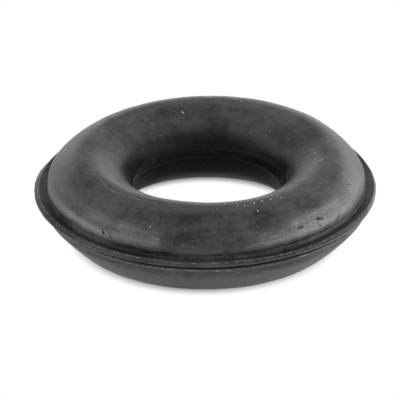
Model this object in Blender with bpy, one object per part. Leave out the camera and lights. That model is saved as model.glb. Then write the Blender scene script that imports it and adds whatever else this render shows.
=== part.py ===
"""Round rubber hanger ring for an exhaust, moulded in one piece.

The ring lies flat with its axis on Z and its resting line on Z = 0.
Its section is a rounded diamond that meets its mirror image at the mould's parting plane.
There the outside carries a flange with a channel above it, and the bore carries a low land.
Lengths are in metres.
"""

import math

import bmesh
import bpy

# The ring's section, measured along the radius
BORE_RADIUS = 0.0149
BORE_TO_CROWN = 0.0086
CROWN_TO_LOWER_WALL = 0.00850
UPPER_WALL_SETBACK = 0.00110

# The ring's section, measured along the axis from the parting plane
UPPER_HEIGHT = 0.0086
LOWER_HEIGHT = 0.0086

# Rounding of the section: crown, gently bowed flank, wall
UPPER_CROWN_ROUND = 0.0053
LOWER_CROWN_ROUND = 0.0050
UPPER_FLANK_ROUND = 0.0220
LOWER_FLANK_ROUND = 0.0600
BORE_FLANK_ROUND = 0.0300
UPPER_WALL_ROUND = 0.0031
LOWER_WALL_ROUND = 0.0044
BORE_WALL_ROUND = 0.0076

# Upper wall: height of its widest line above the parting plane, and how far its foot tucks in
UPPER_WALL_RISE = 0.0021
FOOT_UNDERCUT = 0.00012

# Narrow flat that the ring rests on
REST_FLAT = 0.0016

# Flange at the parting plane
FLANGE_REACH = 0.00130
FLANGE_THICKNESS = 0.00135
FLANGE_LEAN = 0.00045
LIP_ROUND = 0.00045
LIP_WIDTH = 0.00030
LIP_SLOPE = 0.00022
CHANNEL_DEPTH = 0.00030
PARTING_NOTCH = 0.00020

# Small bead at the foot of the upper wall
BEAD_REACH = 0.00022
BEAD_HEIGHT = 0.00040

# Land around the bore at the parting plane
LAND_REACH = 0.00030
LAND_HEIGHT = 0.00185
LAND_CHAMFER = 0.00015

# Smoothness
SEGMENTS = 96
CROWN_STEPS = 5
FLANK_STEPS = 2
WALL_STEPS = 5
LIP_STEPS = 3
SHARP_EDGE = math.radians(38)

# Dull black rubber
RUBBER_COLOUR = (0.032, 0.032, 0.033, 1.0)
RUBBER_ROUGHNESS = 0.58

CROWN_LINE = BORE_RADIUS + BORE_TO_CROWN
LOWER_WALL = CROWN_LINE + CROWN_TO_LOWER_WALL
UPPER_WALL = LOWER_WALL - UPPER_WALL_SETBACK
FLANGE_TIP = LOWER_WALL + FLANGE_REACH


def clear_scene():
    """Remove whatever the new file came with."""
    for item in list(bpy.data.objects):
        bpy.data.objects.remove(item, do_unlink=True)


def arc(centre, radius, start, end, steps):
    """Points on an arc about centre, angles measured up from the outward direction."""
    points = []
    for step in range(steps + 1):
        angle = start + (end - start) * step / steps
        x = centre[0] + radius * math.cos(angle)
        z = centre[1] + radius * math.sin(angle)
        points.append((x, z))
    return points


def rounded_quarter(width, height, crown_round, flank_round, wall_round, rise=0.0, flat=0.0):
    """One quarter of the section, from its crown out and down to its wall.

    A crown arc and a wall arc are joined by the bowed flank that touches both.
    The rise lifts the wall's widest line, and a flat cuts the top of the crown arc off level.
    """
    crown_round = min(crown_round, 0.96 * width, 0.96 * height)
    wall_round = min(wall_round, 0.96 * width, 0.96 * height)
    crown_centre = (0.0, height - crown_round)
    wall_centre = (width - wall_round, rise)
    step_out = wall_centre[0]
    step_down = crown_centre[1] - rise
    span = math.hypot(step_out, step_down)
    to_crown = flank_round - crown_round
    to_wall = flank_round - wall_round
    along = (to_crown ** 2 - to_wall ** 2 + span ** 2) / (2.0 * span)
    aside = math.sqrt(max(to_crown ** 2 - along ** 2, 0.0))
    flank_centre = (
        crown_centre[0] + (along * step_out - aside * step_down) / span,
        crown_centre[1] - (along * step_down + aside * step_out) / span,
    )
    flank_start = math.atan2(crown_centre[1] - flank_centre[1], crown_centre[0] - flank_centre[0])
    flank_end = math.atan2(wall_centre[1] - flank_centre[1], wall_centre[0] - flank_centre[0])
    crown_start = math.acos(0.5 * flat / crown_round)
    points = arc(crown_centre, crown_round, crown_start, flank_start, CROWN_STEPS)
    points += arc(flank_centre, flank_round, flank_start, flank_end, FLANK_STEPS)[1:-1]
    points += arc(wall_centre, wall_round, flank_end, 0.0, WALL_STEPS)
    return points


def cut_at(points, level):
    """Keep the part of a falling curve that lies above level, ending exactly on it."""
    kept = [points[0]]
    for point in points[1:]:
        if point[1] <= level:
            last = kept[-1]
            share = (last[1] - level) / (last[1] - point[1])
            kept.append((last[0] + share * (point[0] - last[0]), level))
            return kept
        kept.append(point)
    return kept


def upper_outside():
    """Crown, shoulder and wall above the flange, tucked in a little down to the bead at its foot."""
    width = UPPER_WALL - CROWN_LINE
    rounds = (UPPER_CROWN_ROUND, UPPER_FLANK_ROUND, UPPER_WALL_ROUND)
    curve = rounded_quarter(width, UPPER_HEIGHT, *rounds, rise=UPPER_WALL_RISE)
    foot = FLANGE_THICKNESS + BEAD_HEIGHT
    curve = cut_at(curve, foot)
    if curve[-1][1] > foot:
        curve.append((width - FOOT_UNDERCUT, foot))
    return [(CROWN_LINE + x, z) for x, z in curve]


def flange(foot):
    """Bead, channel, rounded lip, leaning band and parting notch, from the wall's foot."""
    top = FLANGE_THICKNESS
    bead_radius = foot[0] + BEAD_REACH
    lip_round = min(LIP_ROUND, 0.45 * FLANGE_THICKNESS)
    lip_crest = FLANGE_TIP - lip_round - LIP_WIDTH
    floor = top - CHANNEL_DEPTH
    points = [
        (bead_radius, top + 0.80 * BEAD_HEIGHT),
        (bead_radius + 0.1 * BEAD_REACH, top + 0.1 * BEAD_HEIGHT),
        (bead_radius + BEAD_REACH, floor),
        (lip_crest - LIP_SLOPE, floor),
        (lip_crest, top),
    ]
    points += arc((FLANGE_TIP - lip_round, top - lip_round), lip_round, 0.5 * math.pi, 0.0, LIP_STEPS)
    points.append((FLANGE_TIP - FLANGE_LEAN, PARTING_NOTCH))
    points.append((LOWER_WALL - PARTING_NOTCH, 0.0))
    return points


def lower_outside():
    """Wall, shoulder and resting edge below the flange, from the top down."""
    width = LOWER_WALL - CROWN_LINE
    rounds = (LOWER_CROWN_ROUND, LOWER_FLANK_ROUND, LOWER_WALL_ROUND)
    curve = rounded_quarter(width, LOWER_HEIGHT, *rounds, flat=REST_FLAT)
    curve = cut_at(curve, PARTING_NOTCH)
    return [(CROWN_LINE + x, -z) for x, z in reversed(curve)]


def bore_side():
    """Inside of the ring from the resting edge up to the crown, with its land."""
    width = CROWN_LINE - BORE_RADIUS
    middle = 0.5 * FLANGE_THICKNESS
    land_low = middle - 0.5 * LAND_HEIGHT
    land_high = middle + 0.5 * LAND_HEIGHT
    face = CROWN_LINE - width - LAND_REACH
    lower_rounds = (LOWER_CROWN_ROUND, BORE_FLANK_ROUND, BORE_WALL_ROUND)
    lower = rounded_quarter(width, LOWER_HEIGHT, *lower_rounds, flat=REST_FLAT)
    lower = cut_at(lower, -land_low)
    upper_rounds = (UPPER_CROWN_ROUND, BORE_FLANK_ROUND, BORE_WALL_ROUND)
    upper = rounded_quarter(width, UPPER_HEIGHT, *upper_rounds)
    upper = cut_at(upper, land_high)
    points = [(CROWN_LINE - x, -z) for x, z in lower]
    points.append((face, land_low + LAND_CHAMFER))
    points.append((face, land_high - LAND_CHAMFER))
    points += [(CROWN_LINE - x, z) for x, z in reversed(upper)]
    return points


def ring_section():
    """Closed outline of the section, down the outside and up the bore."""
    points = upper_outside()
    points += flange(points[-1])
    points += lower_outside()
    points += bore_side()
    lowest = min(z for _, z in points)
    return [(radius, z - lowest) for radius, z in points[:-1]]


def turn(name, outline, segments):
    """Turn a closed outline about Z into one closed mesh object."""
    shape = bmesh.new()
    corners = [shape.verts.new((radius, 0.0, z)) for radius, z in outline]
    edges = []
    for index, corner in enumerate(corners):
        edges.append(shape.edges.new((corner, corners[(index + 1) % len(corners)])))
    bmesh.ops.spin(
        shape,
        geom=corners + edges,
        cent=(0.0, 0.0, 0.0),
        axis=(0.0, 0.0, 1.0),
        angle=2.0 * math.pi,
        steps=segments,
        use_merge=True,
    )
    bmesh.ops.recalc_face_normals(shape, faces=shape.faces)
    mesh = bpy.data.meshes.new(name)
    shape.to_mesh(mesh)
    shape.free()
    mesh.shade_smooth()
    mesh.set_sharp_from_angle(angle=SHARP_EDGE)
    ring = bpy.data.objects.new(name, mesh)
    bpy.context.scene.collection.objects.link(ring)
    return ring


def rubber():
    """Dull black moulded rubber."""
    material = bpy.data.materials.new("black_rubber")
    material.use_nodes = True
    shader = material.node_tree.nodes["Principled BSDF"]
    shader.inputs["Base Color"].default_value = RUBBER_COLOUR
    shader.inputs["Roughness"].default_value = RUBBER_ROUGHNESS
    shader.inputs["Metallic"].default_value = 0.0
    return material


def main():
    """Build the hanger ring."""
    clear_scene()
    ring = turn("rubber_ring", ring_section(), SEGMENTS)
    ring.data.materials.append(rubber())


main()
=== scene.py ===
import math

import bpy
import numpy as np
from mathutils import Matrix, Vector


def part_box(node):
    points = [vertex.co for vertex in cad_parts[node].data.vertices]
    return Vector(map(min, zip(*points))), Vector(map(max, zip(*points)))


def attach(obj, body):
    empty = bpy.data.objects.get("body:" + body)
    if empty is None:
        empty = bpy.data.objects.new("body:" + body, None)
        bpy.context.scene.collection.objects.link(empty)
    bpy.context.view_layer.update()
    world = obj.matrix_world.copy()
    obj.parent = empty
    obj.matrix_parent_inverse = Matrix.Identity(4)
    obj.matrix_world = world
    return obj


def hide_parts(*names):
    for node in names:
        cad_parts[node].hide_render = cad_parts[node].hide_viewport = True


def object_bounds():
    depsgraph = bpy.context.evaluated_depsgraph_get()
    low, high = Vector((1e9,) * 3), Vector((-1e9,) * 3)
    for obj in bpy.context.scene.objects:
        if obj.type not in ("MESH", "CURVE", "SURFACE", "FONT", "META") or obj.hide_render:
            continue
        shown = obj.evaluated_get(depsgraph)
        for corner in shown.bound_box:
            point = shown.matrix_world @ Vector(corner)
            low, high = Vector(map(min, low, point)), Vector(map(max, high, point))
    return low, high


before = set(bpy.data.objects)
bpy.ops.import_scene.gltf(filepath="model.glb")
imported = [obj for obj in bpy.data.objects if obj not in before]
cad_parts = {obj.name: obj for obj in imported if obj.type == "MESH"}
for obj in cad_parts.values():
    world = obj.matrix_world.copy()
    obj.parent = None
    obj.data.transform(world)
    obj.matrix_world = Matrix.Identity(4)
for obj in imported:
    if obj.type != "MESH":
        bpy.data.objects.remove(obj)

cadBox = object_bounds()
mm = 0.001


# the ring's section, in mm; a level is measured up from the parting plane

ringShape = {
    "boreRadius": 14.9,
    "boreToCrown": 8.6,
    "crownToLowerWall": 8.46,
    "upperSetback": 1.06,
    "upperHeight": 8.6,
    "lowerHeight": 8.6,
    "upperCrownRound": 5.2,
    "lowerCrownRound": 4.9,
    "upperFlankRound": 23.0,
    "lowerFlankRound": 60.0,
    "boreFlankRound": 30.0,
    "upperWallRound": 3.0,
    "lowerWallRound": 4.4,
    "boreWallRound": 7.6,
    "upperWallRise": 2.12,
    "restFlat": 1.6,
    "flangeReach": 1.32,
    "creaseLevel": 1.82,    # fine crease under the upper wall
    "creaseDepth": 0.10,
    "beadLevel": 1.42,
    "beadReach": 0.13,
    "channelFloor": 0.98,
    "ridgeReach": 1.62,     # crest of the flange, from the upper wall
    "ridgeLevel": 1.34,
    "lipTop": 1.12,
    "lipEdge": 0.84,
    "slitTop": 0.55,        # dark slit between the lip and the lower half
    "slitBottom": 0.14,
    "slitDepth": 1.25,
    "lowerLip": 0.56,       # lip of the lower half, from the lower wall
    "lowerLipFoot": 0.90,   # where that lip has run out, below the bottom of the slit
    "landMiddle": 0.66,
    "landReach": 0.28,
    "landHeight": 1.85,
    "landChamfer": 0.12,
    "softening": 2,         # how often the corners are cut
    "around": 512,          # corners round the ring
    "along": 188,           # corners round the section
}

# share of the flange and fineness of each kind of corner
cornerKinds = {
    "crown": (0.0, 1.0),
    "fold": (0.0, 3.0),
    "ridge": (0.0, 3.6),
    "rim": (1.0, 3.6),
    "slit": (0.6, 3.2),
    "slitEnd": (0.2, 3.2),
    "lowerLip": (0.0, 3.2),
    "lower": (0.0, 0.85),
    "land": (0.0, 2.6),
}

# corners from the foot of the upper wall down: a line of the section and mm outside it,
# a level and mm above it, kind of corner
flangeCorners = [
    ("upperWall", -0.015, "wallFoot", 0.00, "fold"),
    ("crease", 0.02, "creaseLevel", 0.03, "fold"),
    ("crease", 0.00, "creaseLevel", -0.05, "fold"),
    ("bead", -0.04, "beadLevel", 0.10, "fold"),
    ("bead", 0.00, "beadLevel", 0.00, "fold"),
    ("bead", -0.04, "beadLevel", -0.12, "fold"),
    ("crease", 0.06, "channelFloor", 0.16, "fold"),
    ("crease", 0.16, "channelFloor", 0.00, "fold"),
    ("crease", 0.50, "channelFloor", 0.02, "fold"),
    ("ridge", -0.56, "channelFloor", 0.06, "ridge"),
    ("ridge", -0.22, "channelFloor", 0.15, "ridge"),
    ("ridge", -0.04, "ridgeLevel", -0.04, "ridge"),
    ("ridge", 0.06, "ridgeLevel", 0.00, "ridge"),
    ("ridge", 0.18, "ridgeLevel", -0.08, "ridge"),
    ("tip", -0.28, "lipTop", 0.00, "rim"),
    ("tip", -0.07, "lipEdge", 0.10, "rim"),
    ("tip", 0.00, "lipEdge", 0.00, "rim"),
    ("tip", -0.03, "slitTop", 0.12, "rim"),
    ("tip", -0.16, "slitTop", 0.00, "rim"),
    ("slit", 0.00, "slitTop", -0.05, "slit"),
    ("slit", -0.04, "slitMiddle", 0.00, "slit"),
    ("slit", 0.02, "slitBottom", 0.04, "slitEnd"),
    ("lip", -0.08, "slitBottom", 0.00, "lowerLip"),
    ("lip", 0.00, "slitBottom", -0.10, "lowerLip"),
    ("lip", -0.04, "slitBottom", -0.30, "lowerLip"),
    ("lip", -0.16, "slitBottom", -0.70, "lowerLip"),
]

# corners of the land from its foot up: mm outside its face, edge of the land, chamfers above it
landCorners = [
    (0.02, "landLow", 0.5),
    (0.00, "landLow", 1.0),
    (0.00, "landHigh", -1.0),
    (0.03, "landHigh", -0.3),
]

# steps along the arcs of a quarter of the section
arcSteps = {"crown": 20, "flank": 12, "wall": 20}


def arcRows(centre, radius, start, end, steps, tags):
    rows = []
    for step in range(steps + 1):
        angle = start + (end - start) * step / steps
        x = centre[0] + radius * math.cos(angle)
        z = centre[1] + radius * math.sin(angle)
        rows.append((x, z) + tags)
    return rows


def quarterRows(width, height, rounds, tags, rise=0.0, flat=0.0):
    # crown arc, bowed flank and wall arc: falls from the crown to the wall
    crownRound, flankRound, wallRound = rounds
    crownCentre = Vector((0.0, height - crownRound))
    wallCentre = Vector((width - wallRound, rise))
    way = wallCentre - crownCentre
    span = way.length
    toCrown = flankRound - crownRound
    toWall = flankRound - wallRound
    along = (toCrown ** 2 - toWall ** 2 + span ** 2) / (2.0 * span)
    aside = math.sqrt(toCrown ** 2 - along ** 2)
    way.normalize()
    flankCentre = crownCentre + way * along + Vector((way.y, -way.x)) * aside
    flankStart = math.atan2(*(crownCentre - flankCentre).yx)
    flankEnd = math.atan2(*(wallCentre - flankCentre).yx)
    crownStart = math.acos(0.5 * flat / crownRound)
    rows = arcRows(crownCentre, crownRound, crownStart, flankStart, arcSteps["crown"], tags)
    rows += arcRows(flankCentre, flankRound, flankStart, flankEnd, arcSteps["flank"], tags)[1:-1]
    rows += arcRows(wallCentre, wallRound, flankEnd, 0.0, arcSteps["wall"], tags)
    return rows


def cutRows(rows, level):
    # the part of a falling curve above the level, ending on it
    kept = [rows[0]]
    for row in rows[1:]:
        if row[1] <= level:
            last = kept[-1]
            share = (last[1] - level) / (last[1] - row[1])
            kept.append((last[0] + share * (row[0] - last[0]), level) + row[2:])
            return kept
        kept.append(row)
    return kept


def sectionLines(shape):
    # radii and levels that the corners are measured from
    lines = dict(shape)
    lines["crownLine"] = shape["boreRadius"] + shape["boreToCrown"]
    lines["lowerWall"] = lines["crownLine"] + shape["crownToLowerWall"]
    lines["upperWall"] = lines["lowerWall"] - shape["upperSetback"]
    lines["tip"] = lines["lowerWall"] + shape["flangeReach"]
    lines["crease"] = lines["upperWall"] - shape["creaseDepth"]
    lines["bead"] = lines["crease"] + shape["beadReach"]
    lines["ridge"] = lines["upperWall"] + shape["ridgeReach"]
    lines["slit"] = lines["tip"] - shape["slitDepth"]
    lines["lip"] = lines["lowerWall"] + shape["lowerLip"]
    lines["wallFoot"] = 0.5 * (shape["upperWallRise"] + shape["creaseLevel"])
    lines["slitMiddle"] = 0.5 * (shape["slitTop"] + shape["slitBottom"])
    lines["landFace"] = shape["boreRadius"] - shape["landReach"]
    lines["landLow"] = shape["landMiddle"] - 0.5 * shape["landHeight"]
    lines["landHigh"] = shape["landMiddle"] + 0.5 * shape["landHeight"]
    return lines


def sectionRows(shape):
    # columns: radius, height, share of the flange, fineness
    lines = sectionLines(shape)
    crownLine = lines["crownLine"]
    crown, below, land = (cornerKinds[kind] for kind in ("crown", "lower", "land"))

    rounds = (shape["upperCrownRound"], shape["upperFlankRound"], shape["upperWallRound"])
    width = lines["upperWall"] - crownLine
    outside = quarterRows(width, shape["upperHeight"], rounds, crown, rise=shape["upperWallRise"])
    rows = [(crownLine + row[0],) + row[1:] for row in outside]
    for line, outward, level, upward, kind in flangeCorners:
        rows.append((lines[line] + outward, lines[level] + upward) + cornerKinds[kind])

    rounds = (shape["lowerCrownRound"], shape["lowerFlankRound"], shape["lowerWallRound"])
    width = lines["lowerWall"] - crownLine
    lower = quarterRows(width, shape["lowerHeight"], rounds, below, flat=shape["restFlat"])
    lower = cutRows(lower, shape["lowerLipFoot"] - shape["slitBottom"])
    rows += [(crownLine + row[0], -row[1]) + row[2:] for row in reversed(lower)]

    width = shape["boreToCrown"]
    rounds = (shape["lowerCrownRound"], shape["boreFlankRound"], shape["boreWallRound"])
    inLower = quarterRows(width, shape["lowerHeight"], rounds, below, flat=shape["restFlat"])
    rows += [(crownLine - row[0], -row[1]) + row[2:] for row in cutRows(inLower, -lines["landLow"])]
    for outward, edge, chamfers in landCorners:
        height = lines[edge] + chamfers * shape["landChamfer"]
        rows.append((lines["landFace"] + outward, height) + land)
    rounds = (shape["upperCrownRound"], shape["boreFlankRound"], shape["boreWallRound"])
    inUpper = quarterRows(width, shape["upperHeight"], rounds, crown)
    inUpper = cutRows(inUpper, lines["landHigh"])
    rows += [(crownLine - row[0],) + row[1:] for row in reversed(inUpper)]

    table = np.array(rows[:-1])
    table[:, 1] -= table[:, 1].min()
    return table


def softenCorners(table, passes, cut=0.25):
    # corner cutting rounds the moulded edges as wear and flow do
    for _ in range(passes):
        after = np.roll(table, -1, axis=0)
        softer = np.empty((2 * len(table), table.shape[1]))
        softer[0::2] = (1.0 - cut) * table + cut * after
        softer[1::2] = cut * table + (1.0 - cut) * after
        table = softer
    return table


def spaceOut(table, count):
    # corners stand closer together where the section is finely shaped
    closed = np.vstack([table, table[:1]])
    steps = np.hypot(*np.diff(closed[:, :2], axis=0).T)
    weight = steps * 0.5 * (closed[:-1, 3] + closed[1:, 3])
    reach = np.concatenate([[0.0], np.cumsum(weight)])
    wanted = np.arange(count) * reach[-1] / count
    return np.stack([np.interp(wanted, reach, closed[:, k]) for k in range(3)], axis=1)


# how far the moulded parts sit off the flange's axis, and how the rubber wanders, in mm

ringFaults = {
    "crownShift": (0.63, 0.0),
    "wallShift": (0.25, 0.10),
    "lowerShift": (0.22, -0.10),
    "flangeTrim": 0.72,             # how much narrower the flange is behind
    "trimShares": (0.87, 0.13),     # of it at the back, and what the left adds and the right takes off
    "trimSines": (0.15, 0.5),       # sine of the azimuth where it starts and where it is whole
    "flangeBulge": (-34.0, 17.0, 0.30),    # azimuth, spread and size of its widest place
    "wallBulge": (160.0, 17.0, 0.20),
    "swell": (0.05, 17.0),          # depth and pitch of the waves
    "dimples": (0.025, 6.0),
    "grain": (0.010, 1.1),
    "lipWaves": ((0.6, 3.2), (0.4, 1.3)),    # share and pitch
    "lipCalm": 0.7,                 # how much of the other waves the lip leaves out
    "lipWear": (0.075, 0.55, 0.45),    # size of the wear, with its even and its uneven share
    "beadWear": (0.10, 0.5, 0.5),
    "beadPitch": 7.0,
    "landWear": (0.05, 2.4),        # depth and pitch
    "seed": 7,
}

# where they reach, in mm; four numbers say where it starts, is whole, fades and ends
ringZones = {
    "rimRadius": 30.0,
    "rimLevels": (-0.4, 2.1),
    "beadRadius": 31.3,
    "beadSpread": 0.16,
    "landRadius": 15.0,
    "landLevels": (-0.55, -0.2, 1.55, 1.9),
    "wallLevels": (2.0, 3.2, 6.5, 8.2),
    "restHeights": (0.0, 0.6),      # the resting line stays where it is
    "boreLevels": (-0.3, 1.9),      # the bore goes over from the lower half's shift to the crown's
    "topRoom": 0.002,               # left free below the top of the CAD box
}


def wander(points, seed, size, waves=28, pitches=(0.7, 1.6), peak=1.6):
    # smooth wandering over the surface, about -1 to 1, from waves of random direction
    dice = np.random.RandomState(seed)
    total = np.zeros(points.shape[:-1])
    for _ in range(waves):
        way = dice.normal(size=3)
        way /= np.linalg.norm(way)
        pitch = size * dice.uniform(*pitches)
        total += np.cos(points @ way * (2.0 * math.pi / pitch) + dice.uniform(0.0, 2.0 * math.pi))
    return total / math.sqrt(0.5 * waves) / peak


def smooth(low, high, value):
    t = np.clip((value - low) / (high - low), 0.0, 1.0)
    return t * t * (3.0 - 2.0 * t)


def within(zone, value):
    start, whole, fade, end = zone
    return smooth(start, whole, value) * (1.0 - smooth(fade, end, value))


def localBulge(turn, spec):
    azimuth, spread, size = spec
    away = (np.degrees(turn) - azimuth + 180.0) % 360.0 - 180.0
    return size * np.exp(-(away / spread) ** 2)[:, None]


def surfacePush(place, radius, level, lip, nearRim, faults, zones):
    # mm that each corner stands out from the even section
    seed = faults["seed"]
    push = 0.0
    for name, step in (("swell", 0), ("dimples", 1), ("grain", 2)):
        depth, pitch = faults[name]
        push = push + depth * wander(place, seed + step, pitch)
    (longShare, longPitch), (shortShare, shortPitch) = faults["lipWaves"]
    lipNoise = longShare * wander(place, seed + 3, longPitch)
    lipNoise = lipNoise + shortShare * wander(place, seed + 4, shortPitch)
    size, even, uneven = faults["lipWear"]
    push = push * (1.0 - faults["lipCalm"] * lip) - size * lip * (even + uneven * lipNoise)

    away = (level - ringShape["beadLevel"]) / zones["beadSpread"]
    bead = np.exp(-away ** 2) * nearRim * (radius < zones["beadRadius"])
    size, even, uneven = faults["beadWear"]
    push -= size * bead * (even + uneven * wander(place, seed + 5, faults["beadPitch"]))
    land = (radius < zones["landRadius"]) * within(zones["landLevels"], level)
    depth, pitch = faults["landWear"]
    return push + depth * land * wander(place, seed + 6, pitch)


def partShift(outer, level, rim, shape, faults, zones):
    # sideways shift of the crown, the upper wall and the lower half, each with its share
    rise = shape["upperWallRise"]
    climb = np.clip((level - rise) / (shape["upperHeight"] - rise), 0.0, 1.0)
    crownShare = np.where(outer, climb, smooth(*zones["boreLevels"], level))
    wallShare = (1.0 - crownShare) * outer * (level > shape["channelFloor"])
    shares = (crownShare, wallShare, 1.0 - crownShare - wallShare)
    moves = (faults["crownShift"], faults["wallShift"], faults["lowerShift"])
    shift = []
    for axis in (0, 1):
        shift.append(sum(share * move[axis] for share, move in zip(shares, moves)) * (1.0 - rim))
    return shift


def makeRing(shape, faults, zones):
    table = spaceOut(softenCorners(sectionRows(shape), shape["softening"]), shape["along"])
    turn = np.arange(shape["around"]) * 2.0 * math.pi / shape["around"]
    radius, height, rim = (table[:, k][None, :] for k in range(3))
    cosTurn, sinTurn = np.cos(turn)[:, None], np.sin(turn)[:, None]
    ahead = np.roll(table[:, :2], -1, axis=0) - np.roll(table[:, :2], 1, axis=0)
    ahead /= np.hypot(*ahead.T)[:, None]
    outR, outZ = -ahead[:, 1][None, :], ahead[:, 0][None, :]
    place = np.stack([radius * cosTurn, radius * sinTurn, height + 0.0 * turn[:, None]], axis=-1)

    level = height - (height.max() - shape["upperHeight"])
    outer = radius > shape["boreRadius"] + shape["boreToCrown"]
    lowest, highest = zones["rimLevels"]
    nearRim = (radius > zones["rimRadius"]) & (level > lowest) & (level < highest)
    lip = rim * nearRim

    push = surfacePush(place, radius, level, lip, nearRim, faults, zones)
    push += outer * within(zones["wallLevels"], level) * localBulge(turn, faults["wallBulge"])
    push = push * smooth(*zones["restHeights"], height)
    shift = partShift(outer, level, rim, shape, faults, zones)
    behind, leftward = faults["trimShares"]
    trim = faults["flangeTrim"] * lip * smooth(*faults["trimSines"], sinTurn)
    trim = trim * (behind - leftward * cosTurn)
    trim -= lip * localBulge(turn, faults["flangeBulge"])

    place[..., 0] += shift[0] + (push * outR - trim) * cosTurn
    place[..., 1] += shift[1] + (push * outR - trim) * sinTurn
    place[..., 2] += push * outZ
    place[..., 2] = np.clip(place[..., 2], 0.0, None)
    place[..., 2] *= min(1.0, (cadBox[1][2] / mm - zones["topRoom"]) / place[..., 2].max())
    return place * mm


def meshFromGrid(name, grid):
    rows, columns = grid.shape[:2]
    index = np.arange(rows * columns).reshape(rows, columns)
    beside = np.roll(index, -1, axis=0)
    faces = np.stack([index, beside, np.roll(beside, -1, axis=1), np.roll(index, -1, axis=1)], axis=-1)
    mesh = bpy.data.meshes.new(name)
    mesh.from_pydata(grid.reshape(-1, 3).tolist(), [], faces.reshape(-1, 4).tolist())
    mesh.validate()
    mesh.shade_smooth()
    piece = bpy.data.objects.new(name, mesh)
    bpy.context.scene.collection.objects.link(piece)
    return piece


ring = meshFromGrid("hangerRing", makeRing(ringShape, ringFaults, ringZones))
print("ring made:", len(ring.data.polygons) * 2, "triangles")


# finish of the rubber: black, with a dry grey bloom, dust, scuffs and the marks of the mould, and with
# painted highlights, painted reflections and painted shade

rubberFinish = {
    "deep": (0.0110, 0.0110, 0.0116, 1.0),
    "bloom": (0.050, 0.050, 0.050, 1.0),
    "dustAndHighlight": (0.62, 0.62, 0.61, 1.0),
    # colour of the pits, and of the painted shade in the shade patches, the bore and the slit
    "pitsAndShade": (0.006, 0.006, 0.006, 1.0),
    "mottleShares": (0.50, 0.28, 0.22),    # clouds, patches and wiped streaks
    "bloomRange": (0.40, 0.60),
    "speckleDepth": 2.3,
    "gritDepth": 1.6,
    "wipedBase": 3.5,       # mm, radius at which the wiped streaks are unrolled
    "streakBase": 2.2,
    "streakRange": (0.36, 0.62),
    "streakShares": (0.50, 0.50),    # of a highlight band, streaked and even
    "wornRange": (0.30, 0.60, 0.30, 1.0),    # marks are worn down to 0.30 of their strength
    # painted highlight: how pale the highlight bands are painted
    "highlightPale": 0.38,
    "paleShare": 0.32,
    "boreShade": 0.75,
    "roughness": (0.33, 0.54),
    "dullRange": (0.3, 0.7),
    "rubbedDull": 0.10,
    "pitDull": 0.25,
    "plainGloss": 0.50,
    "boreGloss": 0.10,      # painted shade: the bore and the channel shine less, where their reflections would be shaded
    "channelShade": 0.62,
    "pitGloss": 0.3,
    "sheen": 0.14,          # the dry bloom brightens the edges that are seen at a slant
    "sheenRoughness": 0.26,
    "bump": 0.55,
    "bumpDepth": 0.06,      # mm
    "rippleLift": 1.2,
    "wipedLift": 0.8,
    "pitLift": -2.6,
    "rubbedLift": 0.6,
    "markBase": 24.0,       # mm, radius at which the ring is unrolled for its marks
    "stirScale": 1800.0,    # the marks are bent a little by a fine noise
    "stirReach": 0.7,       # mm
}

# scale, detail, roughness and distortion of each noise
rubberNoise = {
    "ripple": (900.0, 3.0, 0.6),
    "cloud": (95.0, 5.0, 0.62, 0.7),
    "patch": (330.0, 5.0, 0.62, 0.4),
    "wiped": (620.0, 4.0, 0.6, 0.2),
    "streak": (1700.0, 3.0, 0.6, 0.1),
    "speckle": (1250.0, 5.0, 0.78),
    "grit": (2600.0, 3.0, 0.8),
    "worn": (1500.0, 4.0, 0.7),
    "broken": (1300.0, 4.0, 0.7),
    "grain": (3000.0, 4.0, 0.65),
}

# where the finish changes, in mm: starts, is whole, fades, ends; or only starts and is whole
rubberZones = {
    "boreRadii": (18.2, 15.2),
    "boreHeights": (15.6, 12.5),
    "channelHeights": (9.0, 9.25, 10.4, 10.9),
    "channelRadii": (30.0, 30.3, 32.0, 32.3),
    "slitHeights": (8.40, 8.48, 9.12, 9.18),
    "slitRadii": (30.7, 31.1),
}

# loose dust, and painted highlights on the edges of the lower half's lip and of the crest, which are broken
# up
dustAndEdgeHighlights = {
    "grainHeight": 17.1,    # mm
    "topHeights": (9.0, 14.5),
    "topShares": (0.25, 0.80),    # of the flecks that show on the side and on the crown
    "topFlecks": (400.0, 0.070, 0.78),    # scale, size and rarity
    "allFlecks": (760.0, 0.110, 0.74),
    "allShare": 0.42,
    "edgeHeights": ((7.85, 8.00, 8.27, 8.42), (9.60, 9.75, 9.85, 10.00)),
    "edgeRadii": (31.2, 31.6),
    "edgeRange": (0.52, 0.62),
    "edgeShare": 0.20,
}

# marks: azimuth, radius and height of both ends in degrees and mm, half width in mm, strength
paleLines = [
    # the first two lines are a painted reflection on the slope inside the crown, at the left
    ((-177.6, 18.85, 15.0), (-168.9, 17.95, 14.4), 0.22, 0.45),
    ((-168.9, 17.95, 14.4), (-154.3, 18.36, 14.7), 0.20, 0.35),
    ((-11.9, 22.80, 17.0), (-11.0, 23.10, 17.0), 0.42, 0.90),
    ((-160.0, 23.10, 17.0), (-147.0, 23.45, 17.0), 0.30, 0.24),
    ((-147.0, 23.45, 17.0), (-136.0, 24.10, 17.0), 0.28, 0.30),
    ((-136.0, 24.10, 17.0), (-125.4, 23.95, 17.0), 0.26, 0.42),
    ((-125.4, 23.95, 17.0), (-112.9, 24.05, 17.0), 0.24, 0.36),
    ((-112.9, 24.05, 17.0), (-99.0, 23.80, 17.0), 0.22, 0.26),
    ((83.2, 16.70, 13.4), (83.2, 16.24, 12.7), 0.16, 0.60),
    ((60.0, 14.70, 9.9), (118.0, 14.70, 9.9), 0.12, 0.30),
    ((86.0, 14.75, 9.6), (77.5, 14.75, 9.1), 0.20, 0.65),
]
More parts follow.
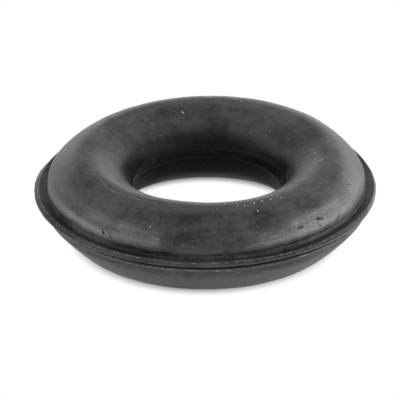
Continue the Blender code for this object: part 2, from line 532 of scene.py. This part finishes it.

# broad places painted pale in streaks: painted highlights on the shoulders, along the widest line of the
# wall and on the crown behind, and painted reflections on the slope inside the crown; the streaks follow
# bloom that was rubbed
highlightBands = [
    ((-40.0, 18.90, 15.2), (-30.0, 19.90, 15.8), 1.00, 0.95),
    ((-32.0, 20.00, 15.9), (-17.0, 21.00, 16.4), 1.15, 0.85),
    ((-20.0, 21.30, 16.5), (-10.0, 22.50, 16.9), 0.80, 0.60),
    ((-175.0, 18.50, 14.8), (-156.0, 18.30, 14.7), 1.10, 0.60),
    ((-68.0, 29.85, 12.2), (-52.0, 29.75, 12.4), 1.90, 0.85),
    ((-54.0, 29.55, 12.6), (-33.0, 29.50, 12.7), 2.60, 1.50),
    ((-136.0, 28.90, 13.6), (-120.0, 29.60, 12.6), 1.60, 0.70),
    ((-122.0, 29.30, 13.0), (-110.0, 29.80, 12.3), 2.30, 1.05),
    ((-172.0, 30.60, 11.1), (-128.0, 30.50, 11.3), 1.00, 0.75),
    ((-30.0, 30.60, 11.0), (8.0, 30.80, 10.7), 1.00, 0.55),
    ((40.0, 22.60, 16.9), (62.0, 24.10, 17.0), 3.20, 0.60),
]

pits = [
    ((-45.6, 29.60, 12.7), (-43.9, 29.75, 12.2), 0.42, 1.0),
    ((-46.6, 29.90, 12.1), (-45.8, 30.25, 11.5), 0.26, 0.8),
    ((-38.5, 30.40, 11.1), (-35.0, 30.25, 11.5), 0.17, 1.0),
    ((-54.9, 29.60, 12.5), (-53.2, 29.75, 12.3), 0.36, 0.8),
    ((-45.7, 30.45, 11.1), (-41.5, 30.50, 11.0), 0.16, 0.9),
    ((-20.8, 28.60, 14.1), (-19.4, 28.80, 13.9), 0.32, 0.6),
    ((-167.0, 30.60, 10.9), (-163.0, 30.70, 10.8), 0.20, 0.8),
    ((-160.3, 30.70, 11.0), (-153.3, 30.70, 11.0), 0.15, 1.0),
    ((-145.3, 30.50, 11.2), (-138.2, 30.60, 10.9), 0.22, 0.9),
    ((-129.6, 29.90, 12.1), (-128.6, 30.20, 11.5), 0.26, 1.0),
    ((-126.4, 30.20, 11.6), (-125.0, 30.40, 11.2), 0.22, 0.9),
    ((-74.6, 27.90, 1.9), (-74.3, 27.90, 1.9), 0.24, 0.8),
    ((-117.8, 28.00, 2.0), (-117.0, 28.00, 2.0), 0.26, 0.8),
    ((21.8, 14.90, 7.8), (23.5, 14.90, 7.6), 0.30, 1.0),
]

# broad places painted dark: painted shade on the front shoulder between the highlights, above the right
# highlight and on the slope inside the crown behind
shadePatches = [
    ((-99.0, 29.40, 12.9), (-80.0, 29.40, 12.9), 3.40, 0.42),
    ((84.0, 20.20, 16.2), (114.0, 20.40, 16.3), 2.60, 0.42),
    ((-44.0, 27.60, 14.8), (-34.0, 27.60, 14.8), 1.50, 0.30),
]

# grains of dust on the crown: azimuth, radius and size in degrees and mm
dustGrains = [
    (-80.8, 23.08, 0.22), (-75.6, 24.10, 0.20), (-72.7, 24.35, 0.21), (-69.3, 22.77, 0.24),
    (-67.7, 24.27, 0.21), (-64.0, 24.35, 0.24), (-59.5, 24.35, 0.23), (-58.0, 23.88, 0.21),
    (-55.7, 23.84, 0.23), (-54.9, 24.60, 0.24), (-68.0, 26.83, 0.24), (-0.4, 20.69, 0.30),
    (7.8, 24.25, 0.25), (102.6, 19.24, 0.25), (-136.0, 24.44, 0.21),
]


def onRing(azimuth, radius, height):
    # nearest place on the ring's surface, unrolled: round the ring, radius, height
    angle = math.radians(azimuth)
    row = round(angle / (2.0 * math.pi) * ringShape["around"]) % ringShape["around"]
    corners = ring.data.vertices[row * ringShape["along"]:(row + 1) * ringShape["along"]]
    wanted = Vector((radius, height)) * mm
    spots = [Vector((corner.co.xy.length, corner.co.z)) for corner in corners]
    spot = min(spots, key=lambda place: (place - wanted).length)
    return Vector((angle * rubberFinish["markBase"] * mm, spot.x, spot.y))


# how far apart the nodes stand in the editor, and how many in a row
nodeGrid = {"across": 220, "down": 260, "columns": 12}


class NodePad:
    # a small helper that adds and wires nodes from left to right
    def __init__(self, tree):
        self.tree = tree
        self.count = 0

    def add(self, kind, **settings):
        node = self.tree.nodes.new(kind)
        row, column = divmod(self.count, nodeGrid["columns"])
        node.location = (nodeGrid["across"] * column, -nodeGrid["down"] * row)
        self.count += 1
        for key, value in settings.items():
            setattr(node, key, value)
        return node

    def link(self, source, target):
        self.tree.links.new(source, target)

    def feed(self, node, socket, value):
        if hasattr(value, "links"):
            self.link(value, node.inputs[socket])
        else:
            node.inputs[socket].default_value = value

    def maths(self, operation, *values):
        node = self.add("ShaderNodeMath", operation=operation)
        for socket, value in enumerate(values):
            self.feed(node, socket, value)
        return node.outputs[0]

    def times(self, first, second):
        return self.maths("MULTIPLY", first, second)

    def most(self, first, second):
        return self.maths("MAXIMUM", first, second)

    def addShare(self, value, share, base):
        return self.maths("MULTIPLY_ADD", value, share, base)

    def clip(self, value):
        # plain nodes: with this many marks, the maths nodes' own clamp left the whole ring black
        return self.maths("MINIMUM", self.most(value, 0.0), 1.0)

    def vector(self, operation, first, second=None, scale=None):
        node = self.add("ShaderNodeVectorMath", operation=operation)
        self.feed(node, 0, first)
        if second is not None:
            self.feed(node, 1, second)
        if scale is not None:
            self.feed(node, "Scale", scale)
        return node.outputs["Value" if operation in ("LENGTH", "DOT_PRODUCT", "DISTANCE") else "Vector"]

    def noise(self, where, scale, detail, roughness, distortion=0.0):
        node = self.add("ShaderNodeTexNoise")
        self.feed(node, "Vector", where)
        self.feed(node, "Scale", scale)
        self.feed(node, "Detail", detail)
        self.feed(node, "Roughness", roughness)
        self.feed(node, "Distortion", distortion)
        return node.outputs["Fac"]

    def ramp(self, value, low, high, outLow=0.0, outHigh=1.0):
        node = self.add("ShaderNodeMapRange", interpolation_type="SMOOTHSTEP")
        self.feed(node, "Value", value)
        self.feed(node, "From Min", low)
        self.feed(node, "From Max", high)
        self.feed(node, "To Min", outLow)
        self.feed(node, "To Max", outHigh)
        return node.outputs["Result"]

    def edge(self, value, zone):
        # goes from 0 to 1 between the zone's two numbers, in mm
        start, whole = zone
        return self.ramp(value, start * mm, whole * mm)

    def band(self, value, zone):
        start, whole, fade, end = zone
        return self.times(self.edge(value, (start, whole)), self.edge(value, (end, fade)))

    def blend(self, amount, first, second):
        node = self.add("ShaderNodeMix", data_type="RGBA")
        self.feed(node, 0, amount)
        self.feed(node, 6, first)       # sockets 6 and 7, and output 2, are the ones for colour
        self.feed(node, 7, second)
        return node.outputs[2]

    def flecks(self, where, scale, size, rarity, core=0.35, softness=0.12):
        # small round specks in some of the cells of a scattered pattern
        scatter = self.add("ShaderNodeTexVoronoi", feature="F1")
        self.feed(scatter, "Vector", where)
        self.feed(scatter, "Scale", scale)
        chance = self.add("ShaderNodeSeparateColor")
        self.link(scatter.outputs["Color"], chance.inputs[0])
        speck = self.ramp(scatter.outputs["Distance"], size, core * size)
        return self.times(speck, self.ramp(chance.outputs[0], rarity, rarity + softness))

    def join(self, *parts):
        node = self.add("ShaderNodeCombineXYZ")
        for socket, value in enumerate(parts):
            self.feed(node, socket, value)
        return node.outputs[0]


def markGroup(core=0.25, leastSpan=1e-12):
    # a soft-edged stroke from one place to another
    group = bpy.data.node_groups.new("stroke", "ShaderNodeTree")
    for name in ("Where", "From", "To"):
        group.interface.new_socket(name, in_out="INPUT", socket_type="NodeSocketVector")
    for name in ("Half Width", "Strength"):
        group.interface.new_socket(name, in_out="INPUT", socket_type="NodeSocketFloat")
    group.interface.new_socket("Mask", in_out="OUTPUT", socket_type="NodeSocketFloat")
    pad = NodePad(group)
    inside = pad.add("NodeGroupInput").outputs
    span = pad.vector("SUBTRACT", inside["To"], inside["From"])
    reach = pad.vector("SUBTRACT", inside["Where"], inside["From"])
    squared = pad.most(pad.vector("DOT_PRODUCT", span, span), leastSpan)
    along = pad.clip(pad.maths("DIVIDE", pad.vector("DOT_PRODUCT", reach, span), squared))
    nearest = pad.vector("SCALE", span, scale=along)
    away = pad.maths("DIVIDE", pad.vector("DISTANCE", reach, nearest), inside["Half Width"])
    mask = pad.times(pad.ramp(away, 1.0, core), inside["Strength"])
    end = pad.add("NodeGroupOutput")
    pad.link(mask, end.inputs["Mask"])
    return group


def strokes(pad, where, group, marks):
    # all the marks of one kind, each where it touches the ring
    total = None
    for start, end, halfWidth, strength in marks:
        node = pad.add("ShaderNodeGroup", node_tree=group)
        pad.feed(node, "Where", where)
        pad.feed(node, "From", onRing(*start))
        pad.feed(node, "To", onRing(*end))
        pad.feed(node, "Half Width", halfWidth * mm)
        pad.feed(node, "Strength", strength)
        total = node.outputs[0] if total is None else pad.most(total, node.outputs[0])
    return total


def dustAndHighlightMask(pad, where, bent, radius, height, group, spec):
    grains = []
    for azimuth, spot, size in dustGrains:
        place = (azimuth, spot, spec["grainHeight"])
        grains.append((place, place, size, 1.0))
    dustAndHighlight = strokes(pad, bent, group, grains)
    start, whole = spec["topHeights"]
    onTop = pad.ramp(height, start * mm, whole * mm, *spec["topShares"])
    dustAndHighlight = pad.most(dustAndHighlight, pad.times(pad.flecks(where, *spec["topFlecks"]), onTop))
    dustAndHighlight = pad.most(dustAndHighlight, pad.times(pad.flecks(bent, *spec["allFlecks"]), spec["allShare"]))
    broken = pad.ramp(pad.noise(where, *rubberNoise["broken"]), *spec["edgeRange"])
    # painted highlights along the edges of the lower lip and of the crest, broken up
    for heights in spec["edgeHeights"]:
        edgeHighlight = pad.times(pad.band(height, heights), pad.edge(radius, spec["edgeRadii"]))
        dustAndHighlight = pad.most(dustAndHighlight, pad.times(pad.times(edgeHighlight, broken), spec["edgeShare"]))
    return dustAndHighlight


def rubberMaterial(finish, noises, zones):
    material = bpy.data.materials.new("blackRubber")
    material.use_nodes = True
    pad = NodePad(material.node_tree)
    shader = material.node_tree.nodes["Principled BSDF"]
    where = pad.add("ShaderNodeTexCoord").outputs["Object"]
    parts = pad.add("ShaderNodeSeparateXYZ")
    pad.link(where, parts.inputs[0])
    across, deep, height = parts.outputs
    turn = pad.maths("ARCTAN2", deep, across)
    radius = pad.vector("LENGTH", pad.join(across, deep, 0.0))
    ripple = pad.noise(where, *noises["ripple"])

    # the ring unrolled, and bent a little so that no mark is straight
    unrolled = pad.join(pad.times(turn, finish["markBase"] * mm), radius, height)
    stir = pad.add("ShaderNodeTexNoise")
    pad.feed(stir, "Vector", where)
    pad.feed(stir, "Scale", finish["stirScale"])
    sway = pad.vector("SUBTRACT", stir.outputs["Color"], (0.5, 0.5, 0.5))
    bent = pad.vector("ADD", unrolled, pad.vector("SCALE", sway, scale=finish["stirReach"] * mm))

    # dry bloom in clouds, drawn out along the ring where it was wiped
    cloud = pad.noise(where, *noises["cloud"])
    patch = pad.noise(where, *noises["patch"])
    ringWay = pad.join(pad.times(turn, finish["wipedBase"] * mm), radius, height)
    wiped = pad.noise(ringWay, *noises["wiped"])
    fineWay = pad.join(pad.times(turn, finish["streakBase"] * mm), radius, height)
    streaks = pad.ramp(pad.noise(fineWay, *noises["streak"]), *finish["streakRange"])
    cloudShare, patchShare, wipedShare = finish["mottleShares"]
    mottle = pad.addShare(cloud, cloudShare, pad.times(patch, patchShare))
    mottle = pad.addShare(wiped, wipedShare, mottle)
    speckle = pad.noise(where, *noises["speckle"])
    bloom = pad.ramp(mottle, *finish["bloomRange"])
    bloom = pad.addShare(pad.maths("SUBTRACT", speckle, 0.5), finish["speckleDepth"], bloom)
    grit = pad.noise(where, *noises["grit"])
    bloom = pad.clip(pad.addShare(pad.maths("SUBTRACT", grit, 0.5), finish["gritDepth"], bloom))

    # marks of handling and of the mould, with painted highlights, painted reflections and painted shade
    group = markGroup()
    worn = pad.ramp(pad.noise(where, *noises["worn"]), *finish["wornRange"])
    # painted highlights and painted reflections, drawn as streaks
    highlightStreaks = strokes(pad, bent, group, highlightBands)
    highlightStreaks = pad.times(highlightStreaks, pad.addShare(streaks, *finish["streakShares"]))
    highlightStreaks = pad.times(highlightStreaks, worn)
    pale = pad.times(strokes(pad, bent, group, paleLines), worn)
    pale = pad.most(pale, pad.times(highlightStreaks, finish["highlightPale"]))
    # real pits, and broad patches of painted shade
    pitsAndShade = pad.times(strokes(pad, bent, group, pits + shadePatches), worn)
    dustAndHighlight = dustAndHighlightMask(pad, where, bent, radius, height, group, dustAndEdgeHighlights)

    # painted shade in the bore, in the channel round the outside and in the slit
    inBore = pad.times(pad.edge(radius, zones["boreRadii"]), pad.edge(height, zones["boreHeights"]))
    inChannel = pad.times(pad.band(height, zones["channelHeights"]), pad.band(radius, zones["channelRadii"]))
    shadedRecesses = pad.most(inBore, pad.times(inChannel, finish["channelShade"]))
    inSlit = pad.times(pad.band(height, zones["slitHeights"]), pad.edge(radius, zones["slitRadii"]))
    shadedRecesses = pad.most(shadedRecesses, inSlit)

    base = pad.blend(bloom, finish["deep"], finish["bloom"])
    base = pad.blend(pad.times(pale, finish["paleShare"]), base, finish["dustAndHighlight"])
    # the pits and the painted shade patches
    base = pad.blend(pitsAndShade, base, finish["pitsAndShade"])
    # painted shade: the bore and the slit are darkened towards the colour of the pits
    base = pad.blend(pad.most(pad.times(inBore, finish["boreShade"]), inSlit), base, finish["pitsAndShade"])
    base = pad.blend(dustAndHighlight, base, finish["dustAndHighlight"])
    pad.link(base, shader.inputs["Base Color"])

    dull = pad.ramp(mottle, *finish["dullRange"], *finish["roughness"])
    dull = pad.addShare(highlightStreaks, finish["rubbedDull"], dull)
    dull = pad.addShare(pitsAndShade, finish["pitDull"], dull)
    pad.link(dull, shader.inputs["Roughness"])
    gloss = pad.ramp(shadedRecesses, 0.0, 1.0, finish["plainGloss"], finish["boreGloss"])
    gloss = pad.times(gloss, pad.ramp(pitsAndShade, 0.0, 1.0, 1.0, finish["pitGloss"]))
    pad.link(gloss, shader.inputs["Specular IOR Level"])
    shader.inputs["Sheen Weight"].default_value = finish["sheen"]
    shader.inputs["Sheen Roughness"].default_value = finish["sheenRoughness"]

    grain = pad.noise(where, *noises["grain"])
    lift = pad.addShare(ripple, finish["rippleLift"], grain)
    lift = pad.addShare(wiped, finish["wipedLift"], lift)
    lift = pad.addShare(pitsAndShade, finish["pitLift"], lift)
    lift = pad.addShare(highlightStreaks, finish["rubbedLift"], lift)
    bump = pad.add("ShaderNodeBump")
    pad.feed(bump, "Strength", finish["bump"])
    pad.feed(bump, "Distance", finish["bumpDepth"] * mm)
    pad.feed(bump, "Height", lift)
    pad.link(bump.outputs["Normal"], shader.inputs["Normal"])
    return material


ring.data.materials.append(rubberMaterial(rubberFinish, rubberNoise, rubberZones))
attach(ring, "root")
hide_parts("rubber_ring")
print("rubber finished")


# floor, air and lamps

studio = {
    "floorSize": 3.0,
    "floorColour": (0.86, 0.86, 0.86, 1.0),
    "airStrength": 0.15,
    "glossShare": 0.25,     # how much of the white that the camera sees is seen in gloss
    "shadowRadius": 23.5,   # mm, circle that the ring rests on
    "shadowReach": (1.2, 4.4),    # mm from that circle, where its shadow starts to thin and ends
    "shadowGlow": 0.25,     # white that is left where the shadow is whole
}

# soft panels round the ring: azimuth and rise in degrees, distance, width and height in metres,
# brightness against plain white
lampList = {
    "rightLow": (0.0, 8.0, 0.70, 0.375, 0.172, 15.0),
    "frontRightLow": (-37.0, 9.0, 0.68, 0.58, 0.185, 7.2),
    "frontLow": (-105.0, 8.0, 0.68, 0.75, 0.172, 0.6),
    "leftLow": (-170.0, 9.0, 0.68, 0.62, 0.185, 8.2),
    "backLeftLow": (150.0, 8.0, 0.70, 0.375, 0.172, 2.3),
    "backRightLow": (30.0, 8.0, 0.70, 0.375, 0.172, 5.2),
    "backLow": (80.0, 8.0, 0.62, 1.20, 0.160, 2.0),
    "leftHigh": (-156.0, 42.0, 0.68, 0.69, 0.247, 1.10),
    "frontHigh": (-102.0, 42.0, 0.70, 0.37, 0.247, 0.10),
    "rightHigh": (-48.0, 42.0, 0.68, 0.69, 0.247, 1.25),
    "backRightHigh": (50.0, 42.0, 0.68, 0.69, 0.247, 0.80),
    "backTop": (105.0, 64.0, 0.69, 0.64, 0.323, 1.4),
}


def seenDirectly(pad, glossShare):
    # camera rays and those through glass, and a share of the rays that gloss sends out
    path = pad.add("ShaderNodeLightPath")
    seen = pad.most(path.outputs["Is Camera Ray"], path.outputs["Is Transmission Ray"])
    return pad.most(seen, pad.times(path.outputs["Is Glossy Ray"], glossShare))


def floorMaterial(spec):
    material = bpy.data.materials.new("paleFloor")
    material.use_nodes = True
    tree = material.node_tree
    tree.nodes.remove(tree.nodes["Principled BSDF"])
    pad = NodePad(tree)
    matt = pad.add("ShaderNodeBsdfDiffuse")
    matt.inputs["Color"].default_value = spec["floorColour"]
    white = pad.add("ShaderNodeEmission")
    # white all over, but for the contact shadow close to the circle that the ring rests on
    fromAxis = pad.vector("LENGTH", pad.add("ShaderNodeTexCoord").outputs["Object"])
    fromCircle = pad.maths("ABSOLUTE", pad.maths("SUBTRACT", fromAxis, spec["shadowRadius"] * mm))
    near, far = spec["shadowReach"]
    glow = pad.ramp(fromCircle, near * mm, far * mm, spec["shadowGlow"], 1.0)
    mixed = pad.add("ShaderNodeMixShader")
    pad.link(pad.times(seenDirectly(pad, spec["glossShare"]), glow), mixed.inputs[0])
    pad.link(matt.outputs[0], mixed.inputs[1])
    pad.link(white.outputs[0], mixed.inputs[2])
    pad.link(mixed.outputs[0], tree.nodes["Material Output"].inputs["Surface"])
    return material


def makeFloor(spec):
    half = spec["floorSize"]
    mesh = bpy.data.meshes.new("studioFloor")
    corners = [(-half, -half, 0.0), (half, -half, 0.0), (half, half, 0.0), (-half, half, 0.0)]
    mesh.from_pydata(corners, [], [(0, 1, 2, 3)])
    floor = bpy.data.objects.new("studioFloor", mesh)
    bpy.context.scene.collection.objects.link(floor)
    mesh.materials.append(floorMaterial(spec))


def makeAir(spec):
    world = bpy.data.worlds.new("studioAir")
    bpy.context.scene.world = world
    world.use_nodes = True
    tree = world.node_tree
    pad = NodePad(tree)
    glow = tree.nodes["Background"]
    seen = seenDirectly(pad, spec["glossShare"])
    pad.link(pad.most(seen, spec["airStrength"]), glow.inputs["Strength"])
    glow.inputs["Color"].default_value = (1.0, 1.0, 1.0, 1.0)


def makeLamp(name, spec, target):
    azimuth, rise, distance, width, height, brightness = spec
    azimuth, rise = math.radians(azimuth), math.radians(rise)
    lamp = bpy.data.lights.new(name, "AREA")
    lamp.shape = "RECTANGLE"
    lamp.size, lamp.size_y = width, height
    lamp.energy = math.pi * lamp.size * lamp.size_y * brightness
    stand = bpy.data.objects.new(name, lamp)
    flat = math.cos(rise)
    way = Vector((flat * math.cos(azimuth), flat * math.sin(azimuth), math.sin(rise)))
    stand.location = target + way * distance
    stand.rotation_mode = "QUATERNION"
    stand.rotation_quaternion = way.to_track_quat("Z", "Y")
    bpy.context.scene.collection.objects.link(stand)


makeFloor(studio)
makeAir(studio)
ringCentre = Vector((0.0, 0.0, 0.5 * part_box("rubber_ring")[1][2]))
for lampName, lampSpec in lampList.items():
    makeLamp(lampName, lampSpec, ringCentre)
print("studio lit")


# camera, at the photograph's angle

shot = {
    "elevation": 26.86,
    "distance": 0.547,
    "pixelsPerMm": 5.136,
    "roll": -0.548,
    "target": (0.0, 0.0, 9.88 * mm),    # middle of the flange's top
    "targetPixel": (205.00, 182.85),
    "frame": 400,
    "sensor": 36.0,
    "clip": (0.01, 20.0),
}


def makeCamera(spec):
    rise = math.radians(spec["elevation"])
    back = Vector((0.0, -math.cos(rise), math.sin(rise)))
    target = Vector(spec["target"])
    lens = bpy.data.cameras.new("photoCamera")
    lens.sensor_width = spec["sensor"]
    lens.lens = lens.sensor_width * spec["pixelsPerMm"] * spec["distance"] / mm / spec["frame"]
    lens.clip_start, lens.clip_end = spec["clip"]
    camera = bpy.data.objects.new("photoCamera", lens)
    bpy.context.scene.collection.objects.link(camera)
    camera.location = target + back * spec["distance"]

    # the target is off the middle of the frame, so the camera turns a little away from it
    roll = Matrix.Rotation(math.radians(spec["roll"]), 3, "Z").to_quaternion()
    facing = back.to_track_quat("Z", "Y") @ roll
    across, up = facing @ Vector((1.0, 0.0, 0.0)), facing @ Vector((0.0, 1.0, 0.0))
    half = 0.5 * spec["frame"]
    offset = mm / spec["pixelsPerMm"]
    pixelX, pixelY = spec["targetPixel"]
    aim = target + across * (half - pixelX) * offset - up * (half - pixelY) * offset
    newBack = (camera.location - aim).normalized()
    newAcross = (across - newBack * across.dot(newBack)).normalized()
    newUp = newBack.cross(newAcross)
    turned = Matrix((newAcross, newUp, newBack)).transposed().to_4x4()
    camera.matrix_world = Matrix.Translation(camera.location) @ turned
    bpy.context.scene.camera = camera


makeCamera(shot)
bpy.context.scene.view_settings.view_transform = "Standard"
print("camera set")
